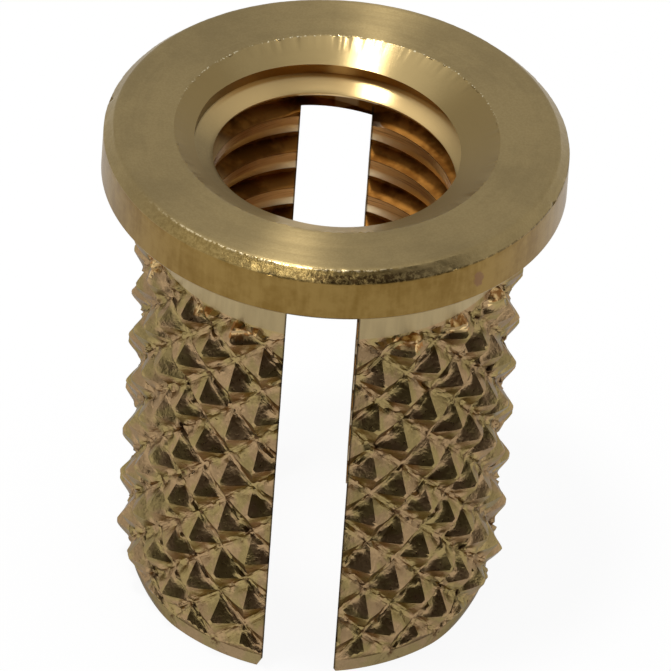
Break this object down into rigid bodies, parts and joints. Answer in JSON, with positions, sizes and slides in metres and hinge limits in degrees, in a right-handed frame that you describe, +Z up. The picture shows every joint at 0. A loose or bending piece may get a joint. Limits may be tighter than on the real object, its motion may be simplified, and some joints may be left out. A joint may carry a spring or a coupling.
{
  "type": "threaded insert",
  "caption": "Flanged brass press-in insert: a threaded bush with a countersunk mouth, a diamond-knurled body and a slot that splits it into two legs.",
  "frame": {"origin": "on the thread's axis, in the plane of the two leg ends that it stands on", "axes": "+Z up the axis from the leg ends to the flange, Y along the slot's way through the body, X across the slot from leg to leg"},
  "size_m": [0.0082, 0.0082, 0.0094],
  "materials": {
    "turned_brass": "as turned, satin"
  },
  "bodies": {
    "root": {"insert_body": "turned_brass"}
  },
  "joints": []
}
